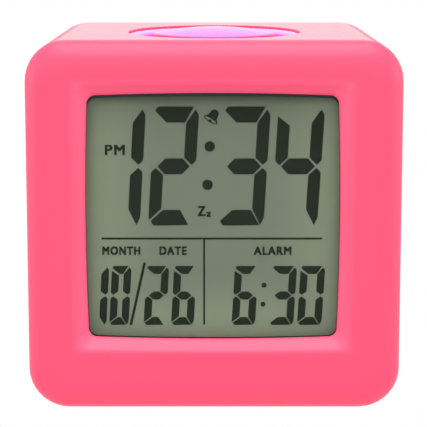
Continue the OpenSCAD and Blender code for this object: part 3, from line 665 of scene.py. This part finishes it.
labels = bmesh.new()
for text, *sides in (("MONTH", -24.4, -16.3, 33.92, 35.68), ("DATE", -11.88, -6.1, 33.92, 35.68),
                     ("ALARM", 8.8, 16.85, 33.92, 35.68), ("PM", -23.64, -19.51, 56.07, 58.16),
                     ("Z", -3.5, -1.98, 42.57, 44.68), ("z", -1.6, -0.8, 42.4, 43.35)):
    lettering(labels, text, *(side * mm for side in sides))
finished(labels, "display_labels", "clock", "lcd_film")

# %% [markdown]
# A tilted bell shows that the alarm is on. It is drawn once as a function, because the same
# shape marks a key and a switch on the back. Its outline is given for a bell about one unit
# wide, which is then turned, scaled and moved into place.

# %% Draw the bell
def bell(bm, x, z, size, tilt):
    """A small bell, tilted: its body, the rim of its mouth and a clapper."""
    turn = Matrix.Rotation(math.radians(tilt), 2)

    def shape(points):
        plate(bm, [tuple(Vector((x, z)) + size * (turn @ Vector(p))) for p in points])

    def oval(low, half_width, half_height, steps=24):
        return [(half_width * math.cos(a), low + half_height * math.sin(a))
                for a in [math.tau * i / steps for i in range(steps)]]

    crown = [(0.27 * math.sin(a), 0.3 + 0.24 * math.cos(a))
             for a in [math.radians(-90 + 20 * i) for i in range(10)]]
    shape([(-0.5, -0.16), (-0.32, 0.02), *crown, (0.32, 0.02), (0.5, -0.16), (0.25, -0.1),
           (-0.25, -0.1)])
    rim, hollow = oval(-0.2, 0.5, 0.15), oval(-0.2, 0.43, 0.09)
    for i in range(len(rim)):
        j = (i + 1) % len(rim)
        shape([rim[i], rim[j], hollow[j], hollow[i]])
    shape(oval(-0.27, 0.1, 0.1, steps=16))


bell(ink["display_icons"], -0.4 * mm, 64.25 * mm, 3.4 * mm, -32)
for name, bm in ink.items():
    finished(bm, name, "clock", "lcd_film")
print("pieces on the display:", len(ink) + 1)

# %% [markdown]
# A thin black border lies round the back of the lens, at the edge of the window. From above it
# shows as a thin dark line along the top and bottom of the window.

# %% Add the lens border
mask_y, mask_back, mask_width = lens_high.y + 0.01 * mm, lens_high.y + 0.03 * mm, 2.2 * mm
hole = (window_left, window_right, window_bottom - 0.14 * mm, window_top - 0.8 * mm, window_r)
border = loft([(mask_y, *hole), window(mask_y, mask_width), window(mask_back, mask_width),
               (mask_back, *hole)])
bow_window(border)
finished(border, "lens_border", "clock", "tape")

# %% [markdown]
# ## The back
#
# The keys and switches on the back are marked with small printed signs: a clock face, a bell, two
# arrows, an open ring for off, and the two hour formats. They are drawn with the same flat
# plates as the display, then turned round to face backwards and laid on the rear panel.

# %% Print the signs on the back
signs = bmesh.new()
time_u, alarm_u, up_u, down_u = 21, 7, -7, -21
sign_z, switch_z = 65.4 * mm, 51.5 * mm


def ring_of(bm, x, z, outer, inner, steps=32):
    """A flat ring made of short plates."""
    spots = [(math.cos(math.tau * i / steps), math.sin(math.tau * i / steps))
             for i in range(steps)]
    for (c, s), (c2, s2) in zip(spots, spots[1:] + spots[:1]):
        plate(bm, [(x + inner * c, z + inner * s), (x + outer * c, z + outer * s),
                   (x + outer * c2, z + outer * s2), (x + inner * c2, z + inner * s2)])


ring_of(signs, time_u * mm, sign_z, 1.35 * mm, 1.1 * mm)
for du, dz, w, h in ((0, 0.35, 0.22, 0.75), (0.3, 0, 0.6, 0.22)):
    u, z = (time_u + du) * mm, sign_z + dz * mm
    plate(signs, rectangle(u - w / 2 * mm, u + w / 2 * mm, z - h / 2 * mm, z + h / 2 * mm))
bell(signs, alarm_u * mm, sign_z, 2.7 * mm, 0)
for u, way in ((up_u, 1), (down_u, -1)):
    base_z, tip_z = sign_z - 0.9 * way * mm, sign_z + 1.1 * way * mm
    plate(signs, [((u - 1.2) * mm, base_z), ((u + 1.2) * mm, base_z), (u * mm, tip_z)])
bell(signs, 24.6 * mm, switch_z + 0.1 * mm, 2.1 * mm, 0)
ring_of(signs, 20.2 * mm, switch_z, 0.8 * mm, 0.55 * mm)
lettering(signs, "24", -20.9 * mm, -18.9 * mm, 50.8 * mm, 52.3 * mm)
lettering(signs, "12", -25.1 * mm, -23.3 * mm, 50.8 * mm, 52.3 * mm)
bmesh.ops.rotate(signs, verts=signs.verts, cent=(0, 0, 0),
                 matrix=Matrix.Rotation(math.pi, 3, "Z"))
bmesh.ops.translate(signs, verts=signs.verts, vec=(0, panel_y + 0.02 * mm + ink_y, 0))
finished(signs, "rear_signs", "clock", "key_plastic")

# %% [markdown]
# Moulded plastic has no knife edges. The CAD parts that can be seen from outside keep their
# meshes, and modifiers weld each one's corners and round its edges by a few tenths of a millimetre.

# %% Round the edges of the parts at the back
edge_rounding = {"rear_case": 0.25, "battery_door": 0.25, "door_latch": 0.15, "time_key": 0.4,
                 "alarm_key": 0.4, "up_key": 0.4, "down_key": 0.4, "alarm_slider": 0.15,
                 "hour_slider": 0.15}
for node, radius in edge_rounding.items():
    part = cad[node]
    weld = part.modifiers.new("weld", "WELD")
    weld.merge_threshold = 0.001 * mm
    bevel = part.modifiers.new("round", "BEVEL")
    bevel.width, bevel.segments, bevel.limit_method = radius * mm, 3, "ANGLE"
    bevel.angle_limit = math.radians(40)
    bevel.harden_normals = True
print("parts with rounded edges:", sum(1 for part in cad.values() if part.modifiers))

# %% [markdown]
# ## Finishes
#
# Each material slot of the CAD record gets one procedural finish. Nearly all share one recipe: a
# colour and a roughness that wander a little, and a very fine grain in the surface. Metals are
# told apart by being metallic and smoother. Colours are linear, as light adds up.
#
# Some shades are painted into the colours, to stand in for what light would do in the real clock.
# The lip round the window is painted paler, for light that a thin edge lets through. The top is
# smoother, and painted paler as a painted reflection of the white room at a grazing angle. The
# face of the display has a painted shadow under the edges of the window and painted light at its
# sides and low down. The rim of the dome and the throat of the ring have painted shade, the outer
# part of the ring a paler painted reflection, and the ring has no sheen, so that the two stay
# apart.

# %% Define the finishes
def plain(name, colour, roughness, grain=0.4 * mm, shade=0.06, depth=0.004 * mm, **constants):
    """A finish whose colour and roughness wander a little, with a fine grain."""
    look = Look(name, **constants)
    lumps = look.noise(12 * grain, 4.0)
    darker = tuple(c * (1 - shade) for c in colour)
    look.set(Base_Color=look.mix(lumps, darker, colour),
             Roughness=(lumps - 0.5) * 0.08 + roughness)
    look.bump(look.noise(grain, 2.0), depth)
    return look


def radial(look):
    """Distance from the upright line through the button, in metres."""
    return (look.along(0) ** 2.0 + (look.along(1) - button_y) ** 2.0) ** 0.5


looks = {
    "silicone": Look("silicone", Specular_IOR_Level=0.6),
    "case_plastic": plain("case_plastic", (0.75, 0.03, 0.10), 0.42),
    "lens": Look("lens", Base_Color=(0.02, 0.02, 0.02, 1), Roughness=0.03, Alpha=0.06),
    "tape": plain("tape", (0.012, 0.012, 0.014), 0.6),
    "lcd_glass": plain("lcd_glass", (0.5, 0.58, 0.5), 0.08),
    "lcd_film": plain("lcd_film", (0.235, 0.28, 0.20), 0.55, depth=0.0005 * mm,
                      Specular_IOR_Level=0.0),
    "light_guide": plain("light_guide", (0.8, 0.85, 0.9), 0.15),
    "white_plastic": plain("white_plastic", (0.8, 0.8, 0.78), 0.4),
    "zebra": plain("zebra", (0.5, 0.2, 0.3), 0.7),
    "board": plain("board", (0.02, 0.16, 0.06), 0.4),
    "resin": plain("resin", (0.01, 0.01, 0.01), 0.25),
    "chip_parts": plain("chip_parts", (0.1, 0.08, 0.06), 0.5),
    "can_metal": plain("can_metal", (0.6, 0.6, 0.6), 0.3, Metallic=1.0),
    "capacitor": plain("capacitor", (0.02, 0.03, 0.1), 0.35),
    "led": plain("led", (0.9, 0.85, 0.4), 0.3),
    "screws": plain("screws", (0.55, 0.55, 0.57), 0.3, Metallic=1.0),
    "dome": plain("dome", (0.95, 0.09, 0.58), 0.08),
    "pad": plain("pad", (0.7, 0.7, 0.7), 0.6),
    "key_plastic": plain("key_plastic", (0.82, 0.82, 0.80), 0.45),
    "plunger": plain("plunger", (0.3, 0.02, 0.02), 0.5),
    "brass": plain("brass", (0.7, 0.48, 0.16), 0.3, Metallic=1.0),
    "ceramic": plain("ceramic", (0.75, 0.73, 0.65), 0.5),
    "spring_steel": plain("spring_steel", (0.5, 0.5, 0.5), 0.25, Metallic=1.0),
    "cell_can": plain("cell_can", (0.6, 0.6, 0.62), 0.28, Metallic=1.0),
    "cell_jacket": plain("cell_jacket", (0.05, 0.25, 0.12), 0.35),
    "lead": plain("lead", (0.4, 0.03, 0.03), 0.45),
}
ink_look = plain("liquid_crystal", (0.018, 0.026, 0.016), 0.5, depth=0.0005 * mm,
                 Specular_IOR_Level=0.0)
dish_look = plain("dome_ring", (0.95, 0.4, 0.9), 0.45, Specular_IOR_Level=0.0)

# the sleeve: a painted highlight makes the lip round the window paler, for light through the thin
# edge; the top is smoother, and a painted reflection makes it paler
silicone = looks["silicone"]
past_side = (silicone.along(0) - middle.x).maths("ABSOLUTE") - half_w
past_end = (silicone.along(2) - middle.z).maths("ABSOLUTE") - half_h
# painted light: paler close to the window's edge
painted_lip_light = 1.0 - past_side.maths("MAXIMUM", past_end).ramp(1.5 * mm, 4.3 * mm)
# painted reflection on the top, which is also made smoother
top_smooth_and_painted_reflection = silicone.along(2).ramp(top_z - 0.6 * mm, top_z - 0.05 * mm)
lumps = silicone.noise(3 * mm, 4.0)
skin_colour = silicone.mix(lumps, (0.985, 0.049, 0.133), (0.99, 0.051, 0.137))
pale = silicone.mix(painted_lip_light, skin_colour, (0.99, 0.09, 0.2))
silicone.set(Base_Color=silicone.mix(top_smooth_and_painted_reflection, pale, (0.99, 0.08, 0.17)),
             Roughness=(lumps - 0.5) * 0.05 + 0.42 - top_smooth_and_painted_reflection * 0.25)
silicone.bump(silicone.noise(0.25 * mm, 2.0), 0.0012 * mm)

# the face of the display: a painted shadow under the window's edges, and painted light that makes
# it paler to the sides and low down
face = looks["lcd_film"]
height, across = face.along(2), face.along(0).maths("ABSOLUTE")
# painted shadow of the window's top edge and of its sides
painted_shadow_under_top = height.ramp(window_top - 2.8 * mm, window_top + 0.1 * mm) * 0.68
painted_shadow_by_side = across.ramp(half_w - 1.2 * mm, half_w + 0.5 * mm) * 0.15
low_down = 1.0 - height.ramp(18 * mm, 30 * mm)
# painted light: paler towards the sides and the bottom, where the lip shades the face
painted_light_outer_part = across.ramp(10 * mm, 28 * mm).maths("MAXIMUM", low_down)
green = face.mix(painted_light_outer_part, (0.184, 0.222, 0.160), (0.245, 0.30, 0.205))
face.set(Base_Color=face.mix(painted_shadow_under_top.maths("MAXIMUM", painted_shadow_by_side), green, (0.02, 0.03, 0.02)))

# the dome and the ring: painted shade at the rim of the dome and in the throat of the ring, and a
# painted reflection that makes the outer part of the ring paler
lilac = looks["dome"]
# painted shade round the foot of the dome
rim = radial(lilac).ramp(12.6 * mm, 13.5 * mm)
lilac.set(Base_Color=lilac.mix(rim, (0.95, 0.1, 0.55), (0.85, 0.015, 0.25)))
# painted shade in the throat of the ring, and a paler painted reflection further out
painted_shade_to_reflection = radial(dish_look).ramp(15.6 * mm, 18.8 * mm)
dish_look.set(Base_Color=dish_look.mix(painted_shade_to_reflection, (0.7, 0.07, 0.42), (0.95, 0.44, 0.85)))
print("finishes:", len(looks) + 2)

# %% [markdown]
# A CAD node takes the finish of its slot in the record, and a new piece the finish of the slot
# that it was given. Two kinds of piece have a finish of their own: the dark shapes on the
# display, and the dished ring.

# %% Put a finish on every piece
special = {name: ink_look for name in (*ink, "display_labels")}
special["snooze_dish"] = dish_look
slot_of = {part["node"]: part["material_slot"] for part in frame["record"]["subparts"]}
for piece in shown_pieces():
    node = piece.get("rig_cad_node")
    name = slot_of[node] if node else piece["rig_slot"]
    look = special.get(piece.name, looks[name])
    piece.data.materials.clear()
    piece.data.materials.append(look.material)

# %% [markdown]
# ## Light and camera
#
# The clock stands in a white studio: white all round, a large soft light above, a small one in
# front and one at each side. The floor glows white, so that no shadow shows on it. At a grazing
# angle the top reflects the white behind it, and a painted reflection in its colour makes it paler.

# %% Build the studio
scene = bpy.context.scene
scene.view_settings.view_transform = "Standard"
world = bpy.data.worlds.new("studio")
scene.world = world
world.use_nodes = True
world.node_tree.nodes["Background"].inputs["Color"].default_value = (1, 1, 1, 1)
world.node_tree.nodes["Background"].inputs["Strength"].default_value = 1.0


def lamp(name, place, size, radiance, aim=Vector((0, 0, 0.04))):
    """A square area light whose power follows from its size and radiance."""
    light = bpy.data.lights.new(name, "AREA")
    light.size = size
    light.energy = radiance * math.pi * size ** 2
    holder = bpy.data.objects.new(name, light)
    holder.location = place
    holder.rotation_euler = (aim - Vector(place)).to_track_quat("-Z", "Y").to_euler()
    scene.collection.objects.link(holder)


lamp("overhead", (0, -0.22, 0.75), size=0.8, radiance=2.5)
lamp("front", (0, -1.1, 0.3), size=0.5, radiance=0.8)
for side in (-1, 1):
    lamp("side", (side * 0.7, -0.12, 0.12), size=0.45, radiance=1.5)

floor = bmesh.new()
bmesh.ops.create_grid(floor, x_segments=1, y_segments=1, size=3)
floor_mesh = bpy.data.meshes.new("floor")
floor.to_mesh(floor_mesh)
floor.free()
floor_piece = bpy.data.objects.new("floor", floor_mesh)
scene.collection.objects.link(floor_piece)
white = Look("floor_white", Base_Color=(0, 0, 0, 1), Roughness=1.0, Specular_IOR_Level=0.0,
             Emission_Color=(1, 1, 1, 1), Emission_Strength=1.0)
floor_mesh.materials.append(white.material)

# %% [markdown]
# The camera looks at the clock from straight in front, from a little above its middle and far
# enough away for a long lens. It is tilted down by about ten degrees.

# %% Place the camera
tilt_down = 0.173
optics = bpy.data.cameras.new("camera")
optics.sensor_width = 36
optics.lens = 160.02
optics.shift_x = -0.0015
camera = bpy.data.objects.new("camera", optics)
camera.location = (0, -0.4308, 0.1145)
camera.rotation_euler = (math.pi / 2 - tilt_down, 0, 0)
scene.collection.objects.link(camera)
scene.camera = camera
